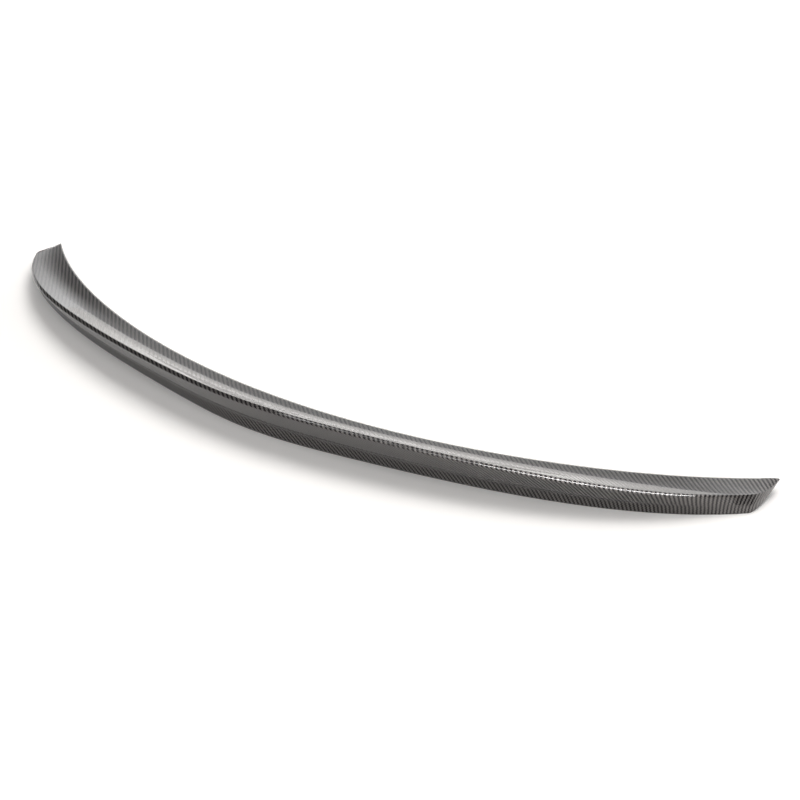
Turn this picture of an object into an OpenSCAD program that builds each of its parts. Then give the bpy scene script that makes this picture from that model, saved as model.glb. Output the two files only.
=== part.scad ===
// Rear boot-lid spoiler: one moulded carbon-fibre laminate, open underneath.
// X runs along the span, +Y towards the front of the car, +Z up.
// The skirt's lower edge lies on Z = 0, and X and Y are centred on the part.

/* [Overall] */
// Length from tip to tip
span = 1200; // [900:10:1500]
// Thickness of the laminate
wall = 2.5; // [1.5:0.1:3.5]

/* [Leading edge] */
// How far the round part of the leading edge bows back at mid-span
edge_bow = 182; // [80:1:240]
// Extra distance that the leading edge runs forward close to each tip
tip_flick = 18; // [0:1:40]
// How close to the tips that extra stretch stays
tip_flick_power = 7.7; // [4:0.1:10]
// Height of the leading edge's upper side at mid-span
edge_height = 23.5; // [15:0.5:30]
// Height of the leading edge's upper side at the tips
tip_height = 15.5; // [8:0.5:20]

/* [Crest] */
// Distance from the leading edge back to the crest, beside mid-span
crest_depth = 74.5; // [60:0.5:110]
// Extra depth that the crest gains towards the ends
crest_widening = 16.5; // [0:0.5:30]
// Depth that the crest loses again close to the ends
crest_taper = 43.5; // [20:0.5:55]
// Height of the crest at mid-span
crest_height = 59; // [48:0.5:80]
// Height of the crest at the ends
crest_end_height = 18.5; // [17:0.5:40]
// How long the crest stays high before it falls to the ends
crest_fall_power = 3.1; // [2:0.1:4]
// Distance from the crest's upper edge back to its lower edge
lip_depth = 2.8; // [2:0.1:5]
// Distance from the crest's upper edge down to its lower edge
lip_drop = 2.7; // [2:0.1:5]
// Share of the lip between the two edges that is lost at the ends
lip_taper = 0.8; // [0:0.05:0.9]

/* [Top surface] */
// Distance from the leading edge back to where the flat front bends up
bend_depth = 36; // [28:0.5:42]
// How far the bend lies below a straight line from edge to crest, at mid-span
bend_drop = 6.5; // [1:0.25:9]
// The same at the ends
bend_end_drop = 3; // [0.5:0.25:4]
// Length of the round blend on each side of the bend
bend_blend = 18; // [6:0.5:24]

/* [Rear face] */
// Distance from the leading edge back to the crease, beside mid-span
crease_depth = 47; // [35:0.5:60]
// Extra depth that the crease gains towards the ends
crease_widening = 33; // [10:0.5:40]
// Depth that the crease loses again close to the ends
crease_taper = 19.5; // [10:0.5:30]
// Height of the crease at mid-span
crease_height = 19; // [12:0.5:30]
// Height of the crease at the ends
crease_end_height = 9.5; // [5:0.5:12]
// Length of the round blend on each side of the crease
crease_blend = 11; // [4:0.5:20]

/* [Skirt] */
// Distance from the leading edge back to the skirt's lower edge, beside mid-span
skirt_depth = 40.5; // [30:0.5:60]
// Extra depth that the skirt gains towards the ends
skirt_widening = 39.5; // [20:0.5:45]
// Depth that the skirt loses again close to the ends
skirt_taper = 18; // [5:0.5:25]

/* [Centre point] */
// Distance from mid-span over which the rear lines run out to a soft point
point_reach = 147; // [80:1:250]
// Extra depth of the crest at the point
crest_point = 5; // [0:0.1:12]
// Extra depth of the crease at the point
crease_point = 9.5; // [0:0.1:16]
// Extra depth of the skirt's lower edge at the point
skirt_point = 13.5; // [0:0.1:20]

/* [Ends] */
// Length of span over which each end rounds in
end_round = 8; // [5:0.5:40]
// Squareness of the rounded corner: 2 is an ellipse, and more is squarer
end_squareness = 2.75; // [2:0.01:4]
// How quickly the heights fall as an end rounds in
end_fall_power = 1.2; // [1:0.05:2]

/* [Hidden] */

half_span = span / 2;
// The three depths lose their taper with this power of the way along the span
taper_power = 8;
overall_depth = edge_bow + tip_flick + crest_depth + crest_point + lip_depth;

straight_steps = 24;
round_steps = 8;
straight_parts = 3;
bend_steps = 6;
crease_steps = 6;
skirt_steps = 2;

// Lines that run along the part. t is the place along the span, from -1 to 1.

function edge_y(t) =
    overall_depth / 2 - edge_bow * (1 - t * t) - tip_flick * (1 - pow(abs(t), tip_flick_power));

function edge_z(t) = tip_height + (edge_height - tip_height) * (1 - t * t);

function point_share(t) = exp(-pow(t * half_span / point_reach, 2));

function line_depth(t, beside_middle, widening, taper, point) =
    beside_middle + widening * t * t - taper * pow(abs(t), taper_power) + point * point_share(t);

function crest_d(t) = line_depth(t, crest_depth, crest_widening, crest_taper, crest_point);

function crest_z(t) =
    crest_end_height + (crest_height - crest_end_height) * (1 - pow(abs(t), crest_fall_power));

function crease_d(t) = line_depth(t, crease_depth, crease_widening, crease_taper, crease_point);

function crease_z(t) = crease_height + (crease_end_height - crease_height) * t * t;

function skirt_d(t) = line_depth(t, skirt_depth, skirt_widening, skirt_taper, skirt_point);

function bend_low(t) = bend_drop + (bend_end_drop - bend_drop) * t * t;

// Share of the crest's lip that is left at t
function lip_share(t) = 1 - lip_taper * pow(abs(t), taper_power);

// The seat is the slanted surface that the lower edges lie on: the leading
// edge's underside in front and the skirt's lower edge behind.
function seat_z(t, depth) = (edge_z(t) - wall) * (1 - depth / skirt_d(t));

// Share of the full section that is left at t, as the ends round in
function end_share(t) =
    let (into = max(0, (abs(t) - 1) * half_span + end_round) / end_round)
    pow(max(0, 1 - pow(into, end_squareness)), 1 / end_squareness);

// Sections. Each point is [distance behind the leading edge, height].

function toward(from, to, distance) =
    let (run = norm(to - from))
    from + (to - from) * min(distance, 0.85 * run) / run;

function between(a, b, steps) = [for (i = [1:steps]) a + (b - a) * i / steps];

function blend(a, corner, b, steps) =
    [for (i = [1:steps]) let (w = i / steps)
        a * (1 - w) * (1 - w) + corner * 2 * w * (1 - w) + b * w * w];

// The corners of the outer section, before any of them is rounded
function corners(t) =
    let (
        edge = [0, edge_z(t)],
        crest = [crest_d(t), crest_z(t)],
        // The bend stays in front of the crest where the ends are narrow
        bend_at = min(bend_depth, 0.75 * crest_d(t)),
        bend = edge + (crest - edge) * bend_at / crest_d(t) - [0, bend_low(t)],
        lip = crest + [lip_depth, -lip_drop] * lip_share(t)
    )
    [edge, bend, crest, lip, [crease_d(t), crease_z(t)], [skirt_d(t), 0]];

// A straight, a round blend at the corner and another straight, without the
// first point
function bent_run(start, corner, end, round_length, round_steps, last_steps) =
    let (
        round_start = toward(corner, start, round_length),
        round_end = toward(corner, end, round_length)
    )
    concat(
        between(start, round_start, straight_parts),
        blend(round_start, corner, round_end, round_steps),
        between(round_end, end, last_steps)
    );

function outer_section(t) =
    let (c = corners(t))
    concat(
        [c[0]],
        bent_run(c[0], c[1], c[2], bend_blend, bend_steps, straight_parts),
        [c[3]],
        bent_run(c[3], c[4], c[5], crease_blend, crease_steps, skirt_steps)
    );

// The unit vector from the outer skin to the inner one, beside the line a to b
function inward(a, b) =
    let (along = (b - a) / norm(b - a))
    [along[1], -along[0]];

// The corner that is one wall inside the corner b of the line a, b, c
function inside_corner(a, b, c) =
    let (n = inward(a, b), m = inward(b, c))
    b + wall * (n + m) / (1 + n * m);

// Where the inner sides of the top and of the rear face meet under the lip
function inside_crest(bend, crest, lip, crease) =
    let (
        on_top = crest + wall * inward(bend, crest),
        on_face = lip + wall * inward(lip, crease),
        top_way = crest - bend,
        face_way = crease - lip
    )
    on_top + top_way * cross(on_face - on_top, face_way) / cross(top_way, face_way);

// The inner skin lies one wall inside the outer one. It starts straight below
// the leading edge and ends straight in front of the skirt's lower edge.
function inner_section(t) =
    let (
        c = corners(t),
        edge = c[0] - [0, wall],
        bend = inside_corner(c[0], c[1], c[2]),
        crest = inside_crest(c[1], c[2], c[3], c[4]),
        crease = inside_corner(c[3], c[4], c[5]),
        foot = c[5] - [wall, 0]
    )
    concat(
        [edge],
        bent_run(edge, bend, crest, bend_blend, bend_steps, straight_parts),
        bent_run(crest, crease, foot, crease_blend, crease_steps, skirt_steps)
    );

// One ring of points in space. t sets the section, and reach is half the
// length that the skin spans, so that the inner skin stays inside the ends.
function ring(t, reach, section) =
    let (share = end_share(t), at = t * reach / half_span)
    [for (p = section)
        let (
            depth = p[0] * share,
            rise = (p[1] - seat_z(at, p[0])) * pow(share, end_fall_power)
        )
        [t * reach, edge_y(at) - depth, seat_z(at, depth) + rise]];

half_stations = concat(
    [for (i = [0:straight_steps - 1]) (half_span - end_round) * i / straight_steps / half_span],
    [for (i = [0:round_steps - 1])
        (half_span - end_round + end_round * sin(90 * i / round_steps)) / half_span]
);
stations = concat(
    [for (i = [len(half_stations) - 1:-1:1]) -half_stations[i]],
    half_stations
);

inner_reach = half_span - wall;
outer_rings = [for (t = stations) ring(t, half_span, outer_section(t))];
inner_rings = [for (t = stations)
    ring(t, inner_reach, inner_section(t * inner_reach / half_span))];

function tip(side, reach) =
    let (at = side * reach / half_span) [side * reach, edge_y(at), seat_z(at, 0)];

function flat_list(rows) = [for (row = rows) for (p = row) p];

function four(a, b, c, d) = [[a, b, c], [a, c, d]];

module spoiler_shell() {
    rings = len(stations);
    per_outer = len(outer_rings[0]);
    per_inner = len(inner_rings[0]);
    inner_start = rings * per_outer;
    tips_start = inner_start + rings * per_inner;
    outer_left = tips_start;
    outer_right = tips_start + 1;
    inner_left = tips_start + 2;
    inner_right = tips_start + 3;
    last_outer = per_outer - 1;
    last_inner = per_inner - 1;
    // A station outside the rings is the tip that the skin closes on
    out_at = function (k, j)
        k < 0 ? outer_left : k == rings ? outer_right : k * per_outer + j;
    in_at = function (k, j)
        k < 0 ? inner_left : k == rings ? inner_right : inner_start + k * per_inner + j;
    vertices = concat(
        flat_list(outer_rings),
        flat_list(inner_rings),
        [tip(-1, half_span), tip(1, half_span), tip(-1, inner_reach), tip(1, inner_reach)]
    );
    panels = concat(
        [for (k = [-1:rings - 1], j = [0:last_outer - 1])
            four(out_at(k, j), out_at(k + 1, j), out_at(k + 1, j + 1), out_at(k, j + 1))],
        [for (k = [-1:rings - 1], j = [0:last_inner - 1])
            four(in_at(k, j), in_at(k, j + 1), in_at(k + 1, j + 1), in_at(k + 1, j))],
        [for (k = [-1:rings - 1])
            four(out_at(k + 1, 0), out_at(k, 0), in_at(k, 0), in_at(k + 1, 0))],
        [for (k = [-1:rings - 1])
            four(out_at(k, last_outer), out_at(k + 1, last_outer),
                in_at(k + 1, last_inner), in_at(k, last_inner))]
    );
    // A panel that meets a tip is one triangle, so its empty half is left out
    triangles = [for (panel = panels) for (f = panel)
        if (f[0] != f[1] && f[1] != f[2] && f[2] != f[0]) f];
    color([0.13, 0.13, 0.14]) polyhedron(points = vertices, faces = triangles, convexity = 6);
}

spoiler_shell();
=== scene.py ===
"""A low boot-lid spoiler of clear-coated carbon-fibre twill, lying in a plain white studio."""

import math
from types import SimpleNamespace

import bpy
from mathutils import Matrix, Vector


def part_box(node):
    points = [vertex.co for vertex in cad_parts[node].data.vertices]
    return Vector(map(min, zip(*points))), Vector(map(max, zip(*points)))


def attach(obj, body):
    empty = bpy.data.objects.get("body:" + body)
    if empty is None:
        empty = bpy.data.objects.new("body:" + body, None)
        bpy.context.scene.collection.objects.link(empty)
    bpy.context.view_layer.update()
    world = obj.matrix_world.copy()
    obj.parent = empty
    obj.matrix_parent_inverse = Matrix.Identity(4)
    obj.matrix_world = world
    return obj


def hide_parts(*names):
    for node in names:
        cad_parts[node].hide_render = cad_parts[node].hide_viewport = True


bl_info = {
    "name": "Carbon Boot-Lid Spoiler",
    "version": (1, 0, 0),
    "blender": (4, 5, 0),
    "location": "3D View > Sidebar > Spoiler",
    "description": "Builds a clear-coated carbon-fibre boot-lid spoiler and a plain studio",
    "category": "Add Mesh",
}

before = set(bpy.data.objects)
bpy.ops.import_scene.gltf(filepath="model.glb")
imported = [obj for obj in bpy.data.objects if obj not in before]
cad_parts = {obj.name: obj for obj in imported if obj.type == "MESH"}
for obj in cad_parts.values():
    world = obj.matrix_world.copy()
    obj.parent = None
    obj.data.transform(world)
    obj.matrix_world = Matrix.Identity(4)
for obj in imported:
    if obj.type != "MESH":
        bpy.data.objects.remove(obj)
SHELL_NODE = "spoiler_shell"
LOWEST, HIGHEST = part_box(SHELL_NODE)
MM = 0.001


def linear(code):
    """Turns an sRGB hex colour into the linear red, green and blue that Blender works in."""
    shares = [int(code[i:i + 2], 16) / 255 for i in (1, 3, 5)]
    return [c / 12.92 if c <= 0.04045 else ((c + 0.055) / 1.055) ** 2.4 for c in shares]


# Node helpers

def add_node(tree, kind, inputs=None, **settings):
    """Adds one node with its settings, and links or sets each input that is named."""
    node = tree.nodes.new(kind)
    for name, value in settings.items():
        setattr(node, name, value)
    for key, value in (inputs or {}).items():
        value = value.socket if isinstance(value, Field) else value
        if isinstance(value, bpy.types.NodeSocket):
            tree.links.new(value, node.inputs[key])
        else:
            node.inputs[key].default_value = value
    return node


def work_out(operation, *values):
    """A new Field from a Math or Vector Math node that takes Fields and plain numbers."""
    fields = [value for value in values if isinstance(value, Field)]
    of_points = any(field.socket.type == "VECTOR" for field in fields)
    kind = "ShaderNodeVectorMath" if of_points else "ShaderNodeMath"
    node = add_node(fields[0].tree, kind, dict(enumerate(values)), operation=operation)
    number_from_points = operation in ("DISTANCE", "DOT_PRODUCT")
    return Field(fields[0].tree, node.outputs["Value" if number_from_points else 0])


class Field:
    """A number or a point that varies over a surface, so that the rules for it read as sums."""

    def __init__(self, tree, socket):
        self.tree = tree
        self.socket = socket

    def __add__(self, other):
        return work_out("ADD", self, other)

    def __radd__(self, other):
        return work_out("ADD", other, self)

    def __sub__(self, other):
        return work_out("SUBTRACT", self, other)

    def __rsub__(self, other):
        return work_out("SUBTRACT", other, self)

    def __mul__(self, other):
        return work_out("MULTIPLY", self, other)

    def __truediv__(self, other):
        return work_out("DIVIDE", self, other)

    def __rtruediv__(self, other):
        return work_out("DIVIDE", other, self)

    def __pow__(self, other):
        return work_out("POWER", self, other)


def absolute(number):
    """A number without its sign."""
    return work_out("ABSOLUTE", number)


def mix(a, b, share):
    """The number or point at a share of the way from a to b."""
    fields = [value for value in (a, b, share) if isinstance(value, Field)]
    of_points = fields[0].socket.type == "VECTOR"
    # The node has sockets of its own for numbers and for points, in this order.
    first, second, result = (4, 5, 1) if of_points else (2, 3, 0)
    node = add_node(fields[0].tree, "ShaderNodeMix", {0: share, first: a, second: b},
                    data_type="VECTOR" if of_points else "FLOAT", clamp_factor=False)
    return Field(fields[0].tree, node.outputs[result])


def joined(tree, x, y, z=0.0):
    """A point from its three numbers."""
    return Field(tree, add_node(tree, "ShaderNodeCombineXYZ", {0: x, 1: y, 2: z}).outputs[0])


def parted(point):
    """A point's three numbers."""
    node = add_node(point.tree, "ShaderNodeSeparateXYZ", {0: point})
    return [Field(point.tree, socket) for socket in node.outputs]


# Sizes and settings that a user would change

def length(name, description, default):
    """A length property, written in millimetres and kept in metres."""
    return bpy.props.FloatProperty(
        name=name, description=description, default=default * MM, unit="LENGTH", precision=4)


def plain(name, description, default):
    """A property that is a plain number."""
    return bpy.props.FloatProperty(name=name, description=description, default=default)


def colour(name, description, code):
    """A colour property, written as an sRGB hex colour."""
    return bpy.props.FloatVectorProperty(
        name=name, description=description, default=linear(code), subtype="COLOR", min=0, max=1)


class ShellSizes(bpy.types.PropertyGroup):
    """The sizes of the moulded shell."""

    half_span: length("Half span", "Distance from mid-span to a tip",
                      (HIGHEST[0] - LOWEST[0]) / 2 / MM)
    overall_depth: length("Overall depth", "Distance from the tips back to the lip",
                          (HIGHEST[1] - LOWEST[1]) / MM)
    wall: length("Wall", "Thickness of the laminate", 2.5)
    edge_bow: length("Edge bow", "How far the leading edge bows back at mid-span", 182)
    tip_flick: length("Tip flick", "Extra run forward of the leading edge at the tips", 18)
    tip_flick_power: plain("Tip flick power", "How close to the tips the flick stays", 7.7)
    edge_height: length("Edge height", "Height of the leading edge at mid-span", 23.5)
    tip_height: length("Tip height", "Height of the leading edge at the tips", 15.5)
    crest_depth: length("Crest depth", "Leading edge to crest, beside mid-span", 74.5)
    crest_widening: length("Crest widening", "Depth the crest gains to the ends", 16.5)
    crest_taper: length("Crest taper", "Depth the crest loses close to the ends", 43.5)
    crest_height: length("Crest height", "Height of the crest at mid-span, unchamfered", 59)
    crest_end_height: length("Crest end height", "Height of the crest at the ends", 18.5)
    crest_fall_power: plain("Crest fall power", "How long the crest stays high", 3.1)
    lip_depth: length("Lip depth", "Depth of the chamfer along the crest", 4)
    lip_drop: length("Lip drop", "Height of the chamfer along the crest", 3.6)
    lip_forward: length("Lip forward", "How far forward the chamfer sets the crest", 1.2)
    lip_lower: length("Lip lower", "How much lower the chamfer sets the crest", 0.5)
    lip_taper: plain("Lip taper", "Share of the chamfer that is lost at the ends", 0.8)
    lip_round: length("Lip round", "Rounding of the chamfer's two edges, on the chamfer", 0.6)
    edge_round: length("Edge round", "Rounding of the same edges, on the top and the face", 2.2)
    bend_depth: length("Bend depth", "Leading edge to the bend of the top surface", 36)
    bend_drop: length("Bend drop", "How low the bend lies at mid-span", 6.5)
    bend_end_drop: length("Bend end drop", "How low the bend lies at the ends", 3)
    bend_blend: length("Bend blend", "Length of the round blend beside the bend", 18)
    face_fullness: length("Face fullness", "Slight swell of the rear face above the crease", 2)
    face_blend: length("Face blend", "Length of the round blend beside the swell", 4)
    crease_depth: length("Crease depth", "Leading edge to crease, beside mid-span", 47)
    crease_widening: length("Crease widening", "Depth the crease gains to the ends", 33)
    crease_taper: length("Crease taper", "Depth the crease loses close to the ends", 19.5)
    crease_height: length("Crease height", "Height of the crease at mid-span", 19)
    crease_end_height: length("Crease end height", "Height of the crease at the ends", 9.5)
    crease_blend: length("Crease blend", "Length of the round blend beside the crease", 6)
    skirt_depth: length("Skirt depth", "Leading edge to skirt, beside mid-span", 40.5)
    skirt_widening: length("Skirt widening", "Depth the skirt gains to the ends", 39.5)
    skirt_taper: length("Skirt taper", "Depth the skirt loses close to the ends", 18)
    point_reach: length("Point reach", "Stretch over which the rear comes to a point", 147)
    crest_point: length("Crest point", "Extra depth of the crest at the point", 5)
    crease_point: length("Crease point", "Extra depth of the crease at the point", 9.5)
    skirt_point: length("Skirt point", "Extra depth of the skirt at the point", 13.5)
    end_round: length("End round", "Length over which each end rounds in", 8)
    end_squareness: plain("End squareness", "2 is an ellipse, more is squarer", 2.75)
    end_fall_power: plain("End fall power", "How quickly heights fall at the ends", 1.2)


class LaminateLook(bpy.types.PropertyGroup):
    """The colours and scale of the woven cloth."""

    tow: length("Tow", "Width of one flat bundle of fibres", 1.85)
    # Both bundle colours start from carbon's own dark grey. The weft is lightened by painted sheen
    # and the warp is darkened to near black by painted shade, for the way light catches bundles
    # running each way.
    weft: colour("Weft", "Bundles that run along the span", "#74706e")
    warp: colour("Warp", "Bundles that run from front to rear", "#1b1919")
    bare_weft: colour("Bare weft", "Weft bundles on the uncoated inside", "#3c3b3c")
    bare_warp: colour("Bare warp", "Warp bundles on the uncoated inside", "#2a292a")
    cut_edge: colour("Cut edge", "The trimmed edge of the laminate", "#1d1c1c")
    cut_fibre: colour("Cut fibre", "Fibre ends that show in the trimmed edge", "#3a3838")


class Studio(bpy.types.PropertyGroup):
    """The camera, the floor and the tones of the room."""

    azimuth: bpy.props.FloatProperty(
        name="Azimuth", description="Camera's way round the object, from the rear",
        default=math.radians(35.31), subtype="ANGLE")
    elevation: bpy.props.FloatProperty(
        name="Elevation", description="Camera's angle above the floor",
        default=math.radians(29.30), subtype="ANGLE")
    distance: length("Distance", "From the camera to the plane of the tips", 2100)
    aside: length("Aside", "Camera's place to the right of its axis", 43.2)
    above: length("Above", "Camera's place above its axis", -64.8)
    lens: plain("Lens", "Focal length in millimetres on a 36 mm sensor", 68.58)
    floor_colour: colour("Floor", "Colour of the studio floor", "#f5f2ef")
    floor_lift: plain("Floor lift", "White that the floor gains beside the object", 0.14)
    far_lift: plain("Far lift", "White that the floor gains far from the object", 0.8)
    wall: plain("Wall", "Grey of the wall behind the object", 0.64)
    card: plain("Card", "White of the card behind the far end", 1.3)
    room: plain("Room", "Grey of the rest of the room", 0.1)


# Rules for the shell's form. t is the place along the span, from -1 to 1.

END_POWER = 8  # how close to the ends the lines taper
MOST_OF_TOP = 0.75  # the farthest that the bend lies, as a share of the way to the crest


def lines(s, t):
    """The shell's named lines at t: how far behind the leading edge, and how high, each runs."""
    far = absolute(t)
    square = t * t
    at_ends = far ** END_POWER
    from_middle = t * (s.half_span / s.point_reach)
    at_point = work_out("EXPONENT", from_middle * from_middle * -1)

    def depth(beside_middle, widening, taper, point):
        return beside_middle + widening * square - taper * at_ends + point * at_point

    bow = s.edge_bow * (1 - square)
    flick = s.tip_flick * (1 - far ** s.tip_flick_power)
    return SimpleNamespace(
        t=t,
        edge_y=s.overall_depth / 2 - bow - flick,
        edge_z=mix(s.edge_height, s.tip_height, square),
        crest_d=depth(s.crest_depth, s.crest_widening, s.crest_taper, s.crest_point),
        crest_z=mix(s.crest_height, s.crest_end_height, far ** s.crest_fall_power),
        bend_low=mix(s.bend_drop, s.bend_end_drop, square),
        lip_share=1 - s.lip_taper * at_ends,
        crease_d=depth(s.crease_depth, s.crease_widening, s.crease_taper, s.crease_point),
        crease_z=mix(s.crease_height, s.crease_end_height, square),
        skirt_d=depth(s.skirt_depth, s.skirt_widening, s.skirt_taper, s.skirt_point))


def end_share(s, t):
    """Share of the full section that is left at t, as the ends round in."""
    into = work_out("MAXIMUM", (absolute(t) - 1) * s.half_span + s.end_round, 0) / s.end_round
    left = work_out("MAXIMUM", 1 - into ** s.end_squareness, 0)
    return left ** (1 / s.end_squareness)


# Sections. A point of a section is its distance behind the leading edge and its height.
# A band of one runs between two of its points, and w is the place on the band, from 0 to 1.

MOST_OF_SIDE = 0.85  # the most that a rounding takes of a side
SHARED_SIDE = 0.4  # the most that it takes of a side that another rounding shares
SWELL = 0.8  # where the rear face swells, as a share of the way from the lip to the crease

# Steps of the bands, for a bent run those before the bend, round it and after it. The lip has
# the chamfer and its two rounded edges.
TOP_STEPS = (6, 14, 8)
EDGE_STEPS = 5
CHAMFER_STEPS = 2
SWELL_STEPS = (5, 8, 1)
CREASE_STEPS = (1, 12, 5)
INNER_TOP_STEPS = (3, 8, 4)
INNER_REAR_STEPS = (4, 8, 2)


def toward(start, end, distance, most=MOST_OF_SIDE):
    """The point at a distance from start on the way to end, and at most that share of it."""
    share = work_out("MINIMUM", distance / work_out("DISTANCE", start, end), most)
    return mix(start, end, share)


def straight(start, end):
    """The line from start to end."""
    return lambda w: mix(start, end, w)


def rounded(start, corner, end):
    """A curve that leaves start towards the corner and reaches end from it."""
    return lambda w: mix(mix(start, corner, w), mix(corner, end, w), w)


def corners(tree, s, line):
    """The corners of the outer section, before any of them is rounded."""
    bend_share = work_out("MINIMUM", s.bend_depth / line.crest_d, MOST_OF_TOP)
    bend_height = mix(line.edge_z, line.crest_z, bend_share) - line.bend_low
    chamfer = joined(tree, s.lip_depth, 0 - s.lip_drop) * line.lip_share
    cut = joined(tree, s.lip_forward, s.lip_lower) * line.lip_share
    crest = joined(tree, line.crest_d, line.crest_z) - cut
    lip = crest + chamfer
    crease = joined(tree, line.crease_d, line.crease_z)
    fullness = joined(tree, s.face_fullness, 0) * line.lip_share
    return SimpleNamespace(
        edge=joined(tree, 0, line.edge_z),
        bend=joined(tree, line.crest_d * bend_share, bend_height),
        crest=crest,
        lip=lip,
        face=mix(lip, crease, SWELL) + fullness,
        crease=crease,
        foot=joined(tree, line.skirt_d, 0))


def bent_run(start, corner, end, blend, steps):
    """A straight, a round blend at the corner and another straight, each with its steps."""
    round_start = toward(corner, start, blend)
    round_end = toward(corner, end, blend)
    return [(steps[0], straight(start, round_start)),
            (steps[1], rounded(round_start, corner, round_end)),
            (steps[2], straight(round_end, end))]


def outer_section(s, at):
    """The outer skin's bands from front to rear: each is its steps and its line."""
    top_end = toward(at.crest, at.bend, s.edge_round)
    lip_start = toward(at.crest, at.lip, s.lip_round, SHARED_SIDE)
    lip_end = toward(at.lip, at.crest, s.lip_round, SHARED_SIDE)
    face_start = toward(at.lip, at.face, s.edge_round)
    under_swell = mix(at.face, at.crease, 0.5)  # half-way, where the two blends meet
    return [
        *bent_run(at.edge, at.bend, top_end, s.bend_blend, TOP_STEPS),
        (EDGE_STEPS, rounded(top_end, at.crest, lip_start)),
        (CHAMFER_STEPS, straight(lip_start, lip_end)),
        (EDGE_STEPS, rounded(lip_end, at.lip, face_start)),
        *bent_run(face_start, at.face, under_swell, s.face_blend, SWELL_STEPS),
        *bent_run(under_swell, at.crease, at.foot, s.crease_blend, CREASE_STEPS),
    ]


def inward(tree, a, b):
    """The unit step from the outer skin to the inner one, beside the line a to b."""
    along = work_out("NORMALIZE", b - a)
    depth, height, _ = parted(along)
    return joined(tree, height, 0 - depth)


def inside_corner(tree, a, b, c, wall):
    """The corner that is one wall inside the corner b of the line a, b, c."""
    n, m = inward(tree, a, b), inward(tree, b, c)
    return b + (n + m) * (wall / (work_out("DOT_PRODUCT", n, m) + 1))


def inside_crest(tree, at, wall):
    """Where the inner sides of the top and of the rear face meet under the chamfer."""
    into_top, into_face = inward(tree, at.bend, at.crest), inward(tree, at.lip, at.crease)
    on_top, on_face = at.crest + into_top * wall, at.lip + into_face * wall
    top_way = work_out("NORMALIZE", at.crest - at.bend)
    gap = work_out("DOT_PRODUCT", on_face - on_top, into_face)
    return on_top + top_way * (gap / work_out("DOT_PRODUCT", top_way, into_face))


def inner_section(tree, s, at):
    """The inner skin's bands, one wall inside the outer ones, and its front and rear points."""
    edge = at.edge - joined(tree, 0, s.wall)
    bend = inside_corner(tree, at.edge, at.bend, at.crest, s.wall)
    crest = inside_crest(tree, at, s.wall)
    crease = inside_corner(tree, at.lip, at.crease, at.foot, s.wall)
    foot = at.foot - joined(tree, s.wall, 0)
    bands = [*bent_run(edge, bend, crest, s.bend_blend, INNER_TOP_STEPS),
             *bent_run(crest, crease, foot, s.crease_blend, INNER_REAR_STEPS)]
    return bands, edge, foot


# The shell's node tree

STATIONS = 441  # points of each band along the span
ROUND_SHARE = 0.06  # the share of each half's points that rounds in its end
TOUCHING = 0.00001  # bands whose points are this close are joined, in metres
CLOTH = "cloth"  # the UV map that says where each point lies on the flat cloth
OUTER, INNER, TRIMMED = 0, 1, 2


def along_span(s, place):
    """Turns an even place from -1 to 1 into t, with more stations where the ends round in."""
    far = absolute(place)
    round_share = s.end_round / s.half_span
    main = work_out("MINIMUM", far / (1 - ROUND_SHARE), 1) * (1 - round_share)
    turn = work_out("MAXIMUM", far - (1 - ROUND_SHARE), 0) / ROUND_SHARE
    quarter = work_out("SINE", turn * (math.pi / 2))
    return (main + round_share * quarter) * work_out("SIGN", place)


def placer(tree, s, line, share):
    """Puts the points of the sections at a line's t in space, with the ends rounded in.

    The shell's lower edges lie on a surface that slants from the leading edge to the skirt."""
    x = line.t * s.half_span
    seat_front = line.edge_z - s.wall
    seat_slope = seat_front / line.skirt_d
    fall = share ** s.end_fall_power

    def in_space(point):
        depth, height, _ = parted(point)
        behind = depth * share
        rise = (height - seat_front + depth * seat_slope) * fall
        return joined(tree, x, line.edge_y - behind, seat_front - behind * seat_slope + rise)

    return in_space


def crest_way(tree, s, line):
    """The level step from the crest outwards, squarely across the crest's line."""
    t = line.t
    # How fast the leading edge and the crest's depth change with t. The soft point at mid-span
    # is left out.
    bow_slope = s.edge_bow * t * 2
    flick_slope = s.tip_flick * s.tip_flick_power * (
        absolute(t) ** (s.tip_flick_power - 1)) * work_out("SIGN", t)
    depth_slope = s.crest_widening * t * 2 - s.crest_taper * END_POWER * t ** (END_POWER - 1)
    slope = (bow_slope + flick_slope - depth_slope) / s.half_span
    return work_out("NORMALIZE", joined(tree, slope, -1))


def cloth_places(tree, s, line, at, in_space):
    """Where each outer band lies on the flat cloth.

    On top the cloth is laid as seen from above, so those bands are None here. Behind the crest
    it is folded down and keeps its length from the crest, squarely across the crest's line.
    The marks are those lengths, from one band to the next."""
    way = crest_way(tree, s, line)
    crest_spot = in_space(at.crest)
    top_end = in_space(toward(at.crest, at.bend, s.edge_round))
    lip = work_out("DISTANCE", at.crest, at.lip)
    face = work_out("DISTANCE", at.lip, at.crease)
    skirt = work_out("DISTANCE", at.crease, at.foot)
    turn = work_out("MINIMUM", s.lip_round, lip * SHARED_SIDE)
    blend = work_out("MINIMUM", s.crease_blend, skirt * MOST_OF_SIDE)
    swell = lip + face * SWELL
    under = face * (1 - SWELL)
    swell_end = work_out("MINIMUM", s.face_blend, under * SHARED_SIDE)
    marks = [turn, lip - turn, lip + s.edge_round, swell - s.face_blend, swell + swell_end,
             swell + under / 2, swell + under * (1 - SHARED_SIDE), lip + face + blend,
             lip + face + skirt]

    def folded(start, end):
        return lambda w: crest_spot + way * mix(start, end, w)

    over_top = [None] * len(TOP_STEPS)
    over_crest = straight(top_end, crest_spot + way * turn)
    return over_top + [over_crest] + [folded(a, b) for a, b in zip(marks, marks[1:])]


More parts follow.
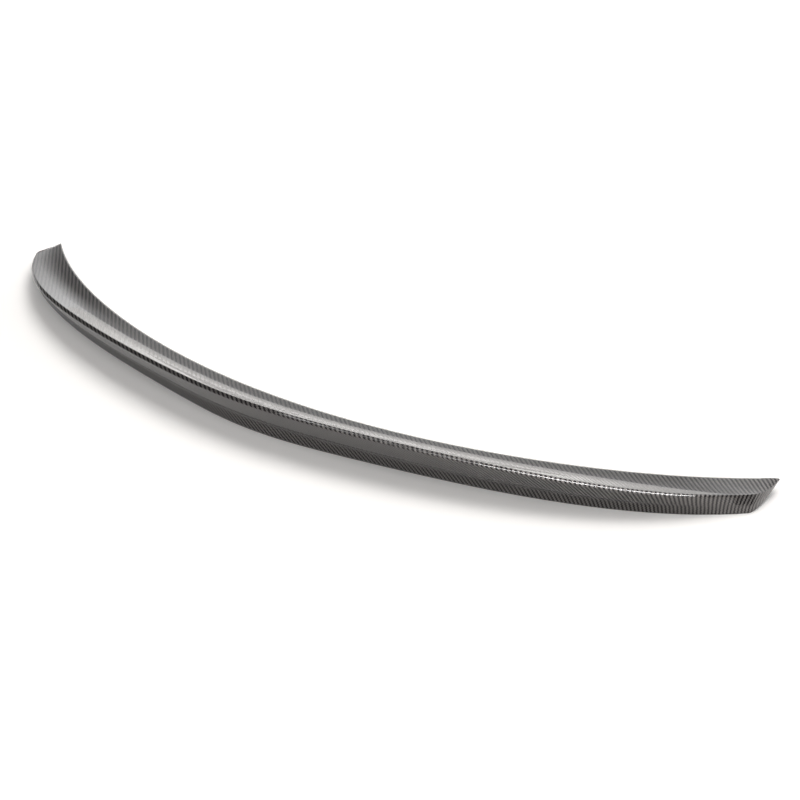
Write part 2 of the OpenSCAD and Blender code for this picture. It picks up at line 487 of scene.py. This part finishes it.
def shell_tree(sizes, materials):
    """Builds the node tree that lofts the shell from its named sizes."""
    tree = bpy.data.node_groups.new("spoiler_shell_form", "GeometryNodeTree")
    tree.interface.new_socket("Geometry", in_out="OUTPUT", socket_type="NodeSocketGeometry")
    for prop in size_properties(sizes):
        tree.interface.new_socket(prop.name, in_out="INPUT", socket_type="NodeSocketFloat")
    given = add_node(tree, "NodeGroupInput")
    s = SimpleNamespace(**{
        prop.identifier: Field(tree, given.outputs[prop.name])
        for prop in size_properties(sizes)})
    on_grid = Field(tree, add_node(tree, "GeometryNodeInputPosition").outputs[0])
    place, down, _ = parted(on_grid)
    w = 0.5 - down
    t = along_span(s, place)
    inner_t = t * (1 - s.wall / s.half_span)

    share = end_share(s, t)
    line, inner_line = lines(s, t), lines(s, inner_t)
    in_space, inside = [placer(tree, s, each, share) for each in (line, inner_line)]
    at = corners(tree, s, line)
    shell = add_node(tree, "GeometryNodeJoinGeometry")
    folds = cloth_places(tree, s, line, at, in_space)
    for (steps, curve), fold in zip(outer_section(s, at), folds):
        spot = in_space(curve(w))
        add_band(tree, shell, steps, spot, fold(w) if fold else spot, OUTER)
    inner_bands, inner_edge, inner_foot = inner_section(tree, s, corners(tree, s, inner_line))
    for steps, curve in inner_bands:
        spot = inside(curve(w))
        add_band(tree, shell, steps, spot, spot, INNER)
    for start, end in ((inside(inner_edge), in_space(at.edge)),
                       (in_space(at.foot), inside(inner_foot))):
        spot = mix(start, end, w)
        add_band(tree, shell, 1, spot, spot, TRIMMED)
    skin = add_node(tree, "GeometryNodeMergeByDistance",
                    {"Geometry": shell.outputs[0], "Distance": TOUCHING})
    finish_shell(tree, skin.outputs[0], materials)
    return tree


def add_band(tree, shell, steps, spot, cloth, skin):
    """Adds one band of the shell: a grid bent to its place in space and on the cloth."""
    grid = add_node(tree, "GeometryNodeMeshGrid",
                    {"Size X": 2.0, "Size Y": 1.0, "Vertices X": STATIONS,
                     "Vertices Y": steps + 1})
    band = add_node(tree, "GeometryNodeStoreNamedAttribute",
                    {"Geometry": grid.outputs["Mesh"], "Name": CLOTH, "Value": cloth},
                    data_type="FLOAT2", domain="CORNER").outputs[0]
    band = add_node(tree, "GeometryNodeStoreNamedAttribute",
                    {"Geometry": band, "Name": "skin", "Value": skin},
                    data_type="INT", domain="FACE").outputs[0]
    band = add_node(tree, "GeometryNodeSetPosition",
                    {"Geometry": band, "Position": spot}).outputs[0]
    if skin == INNER:
        band = add_node(tree, "GeometryNodeFlipFaces", {"Mesh": band}).outputs[0]
    tree.links.new(band, shell.inputs[0])


def finish_shell(tree, shape, materials):
    """Smooths the skins, keeps the trimmed edge crisp and gives each its material."""
    skin = add_node(tree, "GeometryNodeInputNamedAttribute", {"Name": "skin"}, data_type="INT")
    skin = Field(tree, skin.outputs["Attribute"])
    same = 0.1  # whole numbers that differ by less are the same
    where = [work_out("COMPARE", skin, kind, same) for kind in (OUTER, INNER, TRIMMED)]
    smooth = 1 - where[TRIMMED]
    shape = add_node(tree, "GeometryNodeSetShadeSmooth",
                     {"Geometry": shape, "Shade Smooth": smooth}).outputs[0]
    shape = add_node(tree, "GeometryNodeRealizeInstances", {"Geometry": shape}).outputs[0]
    for material, chosen in zip(materials, where):
        shape = add_node(tree, "GeometryNodeSetMaterial",
                         {"Geometry": shape, "Selection": chosen,
                          "Material": material}).outputs[0]
    shape = add_node(tree, "GeometryNodeRemoveAttribute",
                     {"Geometry": shape, "Name": "skin"}).outputs[0]
    add_node(tree, "NodeGroupOutput", {0: shape})


def size_properties(group):
    """A property group's own properties, in the order in which they are written."""
    return [p for p in group.bl_rna.properties if p.identifier not in ("rna_type", "name")]


# Materials

REPEAT = 4  # bundles to a repeat of the twill
STREAK_SCALE = (60, 900, 1)  # how fine the streaks are along the span and across it


def new_material(name):
    """A material and its empty node tree."""
    material = bpy.data.materials.new(name)
    material.use_nodes = True
    material.node_tree.nodes.clear()
    return material, material.node_tree


def twill(tree, tow):
    """The 2x2 twill pattern: where the weft is on top, and how high each bundle stands.

    Each bundle passes over two others and then under two, one place further on in each row,
    which gives the cloth its diagonal stripes."""
    cloth = add_node(tree, "ShaderNodeUVMap", uv_map=CLOTH)
    x, y, _ = parted(Field(tree, cloth.outputs[0]))
    across, along = x / tow, y / tow
    column, row = work_out("FLOOR", across), work_out("FLOOR", along)
    step = work_out("FLOORED_MODULO", column + row, REPEAT)
    # Of the four places of a repeat, the weft is on top in places 0 and 1.
    weft_on_top = work_out("LESS_THAN", step, 1.5)
    in_column, in_row = across - column, along - row
    weft_run = (step + in_column) / 2
    warp_run = (step - 2 + in_row) / 2
    width = mix(in_column, in_row, weft_on_top)
    run = mix(warp_run, weft_run, weft_on_top)
    side, end = width * 2 - 1, run * 2 - 1
    dip = 0.6  # how far a bundle has dropped where it goes under
    height = (1 - side * side * side * side) * (1 - end * end * dip)
    return weft_on_top, height


def streaks(tree):
    """Fine differences in tone along the fibres of the cloth, from 0 to 1."""
    cloth = add_node(tree, "ShaderNodeUVMap", uv_map=CLOTH)
    stretched = add_node(tree, "ShaderNodeMapping",
                         {"Vector": cloth.outputs[0], "Scale": STREAK_SCALE})
    noise = add_node(tree, "ShaderNodeTexNoise",
                     {"Vector": stretched.outputs[0], "Scale": 1.0, "Detail": 3.0})
    return Field(tree, noise.outputs["Fac"])


def two_tones(tree, share, first, second):
    """A colour between two written ones."""
    mixed = add_node(tree, "ShaderNodeMix",
                     {"Factor": share, 6: (*first, 1), 7: (*second, 1)}, data_type="RGBA")
    return mixed.outputs[2]


def woven(tree, tow, tones, unevenness, strength, relief):
    """Where the cloth's weft is on top, its colour, and its normal.

    The unevenness is the range of the weft's tone, as a share of it, and the relief is how high
    the bundles seem to stand, in millimetres."""
    weft_on_top, height = twill(tree, tow)
    shade = weft_on_top * (1 - unevenness / 2 + streaks(tree) * unevenness)
    bump = add_node(tree, "ShaderNodeBump",
                    {"Height": height, "Strength": strength, "Distance": relief * MM})
    return weft_on_top, two_tones(tree, shade, *tones), bump.outputs[0]


def coated_twill(look):
    """Carbon-fibre twill in epoxy, laid by hand in a mould, under a polished clear coat.

    The eye sees diagonal grey and black stripes, because the bundles that run along the span
    catch the light and the others don't, under a smooth, glassy skin that mirrors the studio."""
    material, tree = new_material("clear_coated_carbon_twill")
    # The two bundle colours carry painted sheen on the weft and painted shade on the warp, on top
    # of the shader's own sheen along the fibres.
    weft_on_top, tone, normal = woven(tree, look.tow, (look.warp, look.weft),
                                      unevenness=0.3, strength=0.3, relief=0.2)
    grain = add_node(tree, "ShaderNodeTangent", direction_type="UV_MAP", uv_map=CLOTH)
    quarter_turn = 0.25
    shader = add_node(tree, "ShaderNodeBsdfPrincipled", {
        "Base Color": tone, "Metallic": 0.6, "Specular Tint": (0.2, 0.2, 0.2, 1),
        "Roughness": 0.42, "Anisotropic": 0.75,
        "Anisotropic Rotation": weft_on_top * quarter_turn,
        "Tangent": grain.outputs[0], "Normal": normal,
        "Coat Weight": 1.0, "Coat Roughness": 0.03, "Coat IOR": 1.5})
    add_node(tree, "ShaderNodeOutputMaterial", {"Surface": shader.outputs[0]})
    return material


def bare_twill(look):
    """The uncoated inside of the moulding: resin-starved cloth, matt and a little uneven."""
    material, tree = new_material("bare_carbon_twill")
    _, tone, normal = woven(tree, look.tow, (look.bare_warp, look.bare_weft),
                            unevenness=0.8, strength=0.8, relief=0.3)
    shader = add_node(tree, "ShaderNodeBsdfPrincipled",
                      {"Base Color": tone, "Roughness": 0.6, "Normal": normal})
    add_node(tree, "ShaderNodeOutputMaterial", {"Surface": shader.outputs[0]})
    return material


def cut_laminate(look):
    """The trimmed and sanded edge, where the ends of the fibres show as fine dull specks."""
    material, tree = new_material("cut_carbon_laminate")
    place = add_node(tree, "ShaderNodeTexCoord").outputs["Object"]
    grain = add_node(tree, "ShaderNodeTexNoise", {"Vector": place, "Scale": 1500.0, "Detail": 2.0})
    tone = two_tones(tree, grain.outputs["Fac"], look.cut_edge, look.cut_fibre)
    shader = add_node(tree, "ShaderNodeBsdfPrincipled", {"Base Color": tone, "Roughness": 0.5})
    add_node(tree, "ShaderNodeOutputMaterial", {"Surface": shader.outputs[0]})
    return material


# Operators

class SPOILER_OT_shell(bpy.types.Operator):
    """Builds the moulded shell with its cloth, clear coat and trimmed edge"""

    bl_idname = "spoiler.shell"
    bl_label = "Moulded Shell"

    def execute(self, context):
        sizes, look = context.scene.shell_sizes, context.scene.laminate_look
        materials = [coated_twill(look), bare_twill(look), cut_laminate(look)]
        tree = shell_tree(sizes, materials)
        shell = bpy.data.objects.new("moulded_shell", bpy.data.meshes.new("moulded_shell"))
        context.scene.collection.objects.link(shell)
        form = shell.modifiers.new("Form", "NODES")
        form.node_group = tree
        inputs = {item.name: item.identifier for item in tree.interface.items_tree
                  if item.in_out == "INPUT"}
        for prop in size_properties(sizes):
            form[inputs[prop.name]] = getattr(sizes, prop.identifier)
        shell.data = plain_mesh(context, shell)
        shell.modifiers.clear()
        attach(shell, "root")
        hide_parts(SHELL_NODE)
        return {"FINISHED"}


def plain_mesh(context, obj):
    """The mesh that an object's modifiers give, as a mesh of its own."""
    depsgraph = context.evaluated_depsgraph_get()
    mesh = bpy.data.meshes.new_from_object(obj.evaluated_get(depsgraph))
    mesh.name = obj.name
    return mesh


class SPOILER_OT_studio(bpy.types.Operator):
    """Sets up the floor, the light and the camera"""

    bl_idname = "spoiler.studio"
    bl_label = "Studio"

    def execute(self, context):
        studio = context.scene.studio
        add_camera(context, studio)
        add_floor(context, studio)
        add_card(context, studio)
        add_light(context, studio)
        context.scene.view_settings.view_transform = "Standard"
        return {"FINISHED"}


SENSOR_WIDTH = 36  # of the camera, in millimetres


def add_camera(context, studio):
    """Puts the camera where the photograph was taken from."""
    a, e = studio.azimuth, studio.elevation
    right = Vector((math.cos(a), math.sin(a), 0))
    up = Vector((-math.sin(a) * math.sin(e), math.cos(a) * math.sin(e), math.cos(e)))
    back = right.cross(up)
    tips = Vector((0, HIGHEST[1], 0))
    place = tips + back * studio.distance + right * studio.aside + up * studio.above
    data = bpy.data.cameras.new("camera")
    data.sensor_width = SENSOR_WIDTH
    data.lens = studio.lens
    camera = bpy.data.objects.new("camera", data)
    turn = Matrix((right, up, back)).transposed().to_4x4()
    camera.matrix_world = Matrix.Translation(place) @ turn
    context.scene.collection.objects.link(camera)
    context.scene.camera = camera


def seen_directly(tree):
    """1 for rays from the camera and for those that a glossy or clear surface sends on."""
    path = add_node(tree, "ShaderNodeLightPath")
    camera, glossy, clear = [Field(tree, path.outputs[name]) for name in (
        "Is Camera Ray", "Is Glossy Ray", "Is Transmission Ray")]
    return work_out("MAXIMUM", camera, work_out("MAXIMUM", glossy, clear))


def add_sheet(context, name, middle, half_side, half_other, material):
    """A flat four-sided piece of the stage, round a middle."""
    mesh = bpy.data.meshes.new(name)
    outline = [middle - half_side - half_other, middle + half_side - half_other,
               middle + half_side + half_other, middle - half_side + half_other]
    mesh.from_pydata(outline, [], [(0, 1, 2, 3)])
    mesh.materials.append(material)
    sheet = bpy.data.objects.new(name, mesh)
    context.scene.collection.objects.link(sheet)
    return sheet


# The floor's reach on each side, and the distances from its middle between which it whitens,
# in metres.
FLOOR_REACH = 8.0
WHITENS_FROM, WHITENS_TO = 0.5, 2.2


def add_floor(context, studio):
    """A wide pale floor that shows as white and still takes the object's soft shadow."""
    material, tree = new_material("studio_floor")
    diffuse = add_node(tree, "ShaderNodeBsdfDiffuse", {"Color": (*studio.floor_colour, 1)})
    place = Field(tree, add_node(tree, "ShaderNodeTexCoord").outputs["Object"])
    far = add_node(tree, "ShaderNodeMapRange",
                   {"Value": work_out("DISTANCE", place, (0, 0, 0)),
                    "From Min": WHITENS_FROM, "From Max": WHITENS_TO,
                    "To Min": studio.floor_lift, "To Max": studio.far_lift})
    lift = add_node(tree, "ShaderNodeEmission",
                    {"Strength": seen_directly(tree) * Field(tree, far.outputs[0])})
    both = add_node(tree, "ShaderNodeAddShader", {0: diffuse.outputs[0], 1: lift.outputs[0]})
    add_node(tree, "ShaderNodeOutputMaterial", {"Surface": both.outputs[0]})
    floor = add_sheet(context, "floor", Vector((0, 0, 0)), Vector((FLOOR_REACH, 0, 0)),
                      Vector((0, FLOOR_REACH, 0)), material)


# The white card: the middle of its foot, the way that it runs, half its width, its height, and
# how far from that middle it starts to fade, in metres.
CARD_MIDDLE = Vector((-0.76, 0.3, 0))
CARD_WAY = Vector((0.76, 0.65, 0))
CARD_HALF_WIDTH = 0.16
CARD_HEIGHT = 0.14
CARD_FADES_FROM = 0.06


def add_card(context, studio):
    """A low white card behind the far end, which only shows mirrored in the clear coat there."""
    material, tree = new_material("studio_card")
    place = Field(tree, add_node(tree, "ShaderNodeTexCoord").outputs["Object"])
    from_middle = work_out("DISTANCE", place, tuple(CARD_MIDDLE))
    fade = 1 - smooth_step(from_middle, CARD_FADES_FROM, CARD_HEIGHT)
    clear = add_node(tree, "ShaderNodeBsdfTransparent")
    white = add_node(tree, "ShaderNodeEmission", {"Strength": studio.card})
    both = add_node(tree, "ShaderNodeMixShader",
                    {0: fade, 1: clear.outputs[0], 2: white.outputs[0]})
    add_node(tree, "ShaderNodeOutputMaterial", {"Surface": both.outputs[0]})
    half_up = Vector((0, 0, CARD_HEIGHT / 2))
    card = add_sheet(context, "white_card", CARD_MIDDLE + half_up,
                     CARD_WAY * CARD_HALF_WIDTH, half_up, material)
    card.visible_camera = card.visible_shadow = card.visible_diffuse = False


# Each light: its power in watts, the two ends of its middle line and its breadth in metres,
# and whether dull surfaces and glossy ones see it. All of them face the object.
LIGHTS = {
    "key": (24, (0.0, 0.6, 2.1), (1.2, 0.4, 2.1), 1.5, True, True),
    "rear_softbox": (19, (-1.0, 0.7, 1.9), (0.1, 0.9, 1.9), 1.5, True, False),
    "fill": (14, (-0.7, -1.2, 1.8), (1.1, -1.2, 1.8), 1.0, True, False),
    "strip": (38, (0.35, -1.29, 1.84), (1.98, -0.41, 1.08), 0.13, False, True),
    "overhead_softbox": (10, (-1.0, -1.1, 1.9), (0.35, -1.45, 1.9), 0.2, False, True),
    "side_panel": (5, (1.5, -1.4, 0.4), (2.0, -0.8, 0.4), 0.3, False, True),
}


def add_light(context, studio):
    """The surround, and the soft lights that shade the object and show in its clear coat."""
    context.scene.world = surround(studio)
    for name, (power, start, end, breadth, on_dull, on_glossy) in LIGHTS.items():
        along = Vector(end) - Vector(start)
        middle = (Vector(start) + Vector(end)) / 2
        data = bpy.data.lights.new(name, "AREA")
        data.shape = "RECTANGLE"
        data.size, data.size_y, data.energy = along.length, breadth, power
        light = bpy.data.objects.new(name, data)
        across = middle.cross(along).normalized()
        turn = Matrix((along.normalized(), across, along.cross(across).normalized()))
        light.matrix_world = Matrix.Translation(middle) @ turn.transposed().to_4x4()
        light.visible_camera = False
        light.visible_diffuse, light.visible_glossy = on_dull, on_glossy
        context.scene.collection.objects.link(light)


# The soft edges of the wall and of the brighter panel on it: for each, the two numbers between
# which it fades, as the sideways, forward or upward part of the way that a ray goes.
FOOT_TOP = (0.1, 0.28)
WALL_LEFT = (-0.75, -0.4)
WALL_TOP = (0.42, 0.6)
WALL_NEAR = (0, 0.4)
PANEL_LEFT = (-0.42, -0.3)
PANEL_TOP = (0.55, 0.7)
PANEL_TIMES_WALL = 2.4


def surround(studio):
    """A pale wall behind the object, in a room that is darker above, to the left and near.

    The wall reaches farther to the left at its foot, and has a brighter panel. Wall and room
    light the object softly and show in its clear coat. The camera sees neither of them, but an
    even pale grey past the floor."""
    world = bpy.data.worlds.new("surround")
    world.use_nodes = True
    tree = world.node_tree
    tree.nodes.clear()
    way = Field(tree, add_node(tree, "ShaderNodeTexCoord").outputs["Generated"])
    sideways, forward, upward = parted(way)
    foot = 1 - smooth_step(upward, *FOOT_TOP)
    wall = smooth_step(sideways, *WALL_LEFT) * (1 - smooth_step(upward, *WALL_TOP))
    panel = smooth_step(sideways, *PANEL_LEFT) * (1 - smooth_step(upward, *PANEL_TOP))
    lit = work_out("MAXIMUM", foot, wall)
    lit = work_out("MAXIMUM", lit, panel * PANEL_TIMES_WALL)
    lit = lit * smooth_step(forward, *WALL_NEAR)
    path = add_node(tree, "ShaderNodeLightPath")
    camera = Field(tree, path.outputs["Is Camera Ray"])
    strength = mix(mix(studio.room, studio.wall, lit), 1.0, camera)
    background = add_node(tree, "ShaderNodeBackground", {"Strength": strength})
    add_node(tree, "ShaderNodeOutputWorld", {"Surface": background.outputs[0]})
    return world


def smooth_step(number, start, end):
    """Rises softly from 0 to 1 as the number goes from start to end."""
    node = add_node(number.tree, "ShaderNodeMapRange",
                    {"Value": number, "From Min": start, "From Max": end},
                    interpolation_type="SMOOTHSTEP")
    return Field(number.tree, node.outputs[0])


class SPOILER_PT_panel(bpy.types.Panel):
    """Lists the pieces and their sizes"""

    bl_idname = "SPOILER_PT_panel"
    bl_label = "Boot-Lid Spoiler"
    bl_space_type = "VIEW_3D"
    bl_region_type = "UI"
    bl_category = "Spoiler"

    def draw(self, context):
        scene = context.scene
        for operator, group in ((SPOILER_OT_shell, scene.shell_sizes),
                                (None, scene.laminate_look),
                                (SPOILER_OT_studio, scene.studio)):
            box = self.layout.box()
            if operator:
                box.operator(operator.bl_idname)
            for prop in size_properties(group):
                box.prop(group, prop.identifier)


CLASSES = (ShellSizes, LaminateLook, Studio, SPOILER_OT_shell, SPOILER_OT_studio,
           SPOILER_PT_panel)


def register():
    for cls in CLASSES:
        bpy.utils.register_class(cls)
    bpy.types.Scene.shell_sizes = bpy.props.PointerProperty(type=ShellSizes)
    bpy.types.Scene.laminate_look = bpy.props.PointerProperty(type=LaminateLook)
    bpy.types.Scene.studio = bpy.props.PointerProperty(type=Studio)


def unregister():
    del bpy.types.Scene.studio
    del bpy.types.Scene.laminate_look
    del bpy.types.Scene.shell_sizes
    for cls in reversed(CLASSES):
        bpy.utils.unregister_class(cls)


def main():
    """Builds the whole scene."""
    register()
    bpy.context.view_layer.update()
    bpy.ops.spoiler.studio()
    bpy.ops.spoiler.shell()
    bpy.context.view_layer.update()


if __name__ == "__main__":
    main()
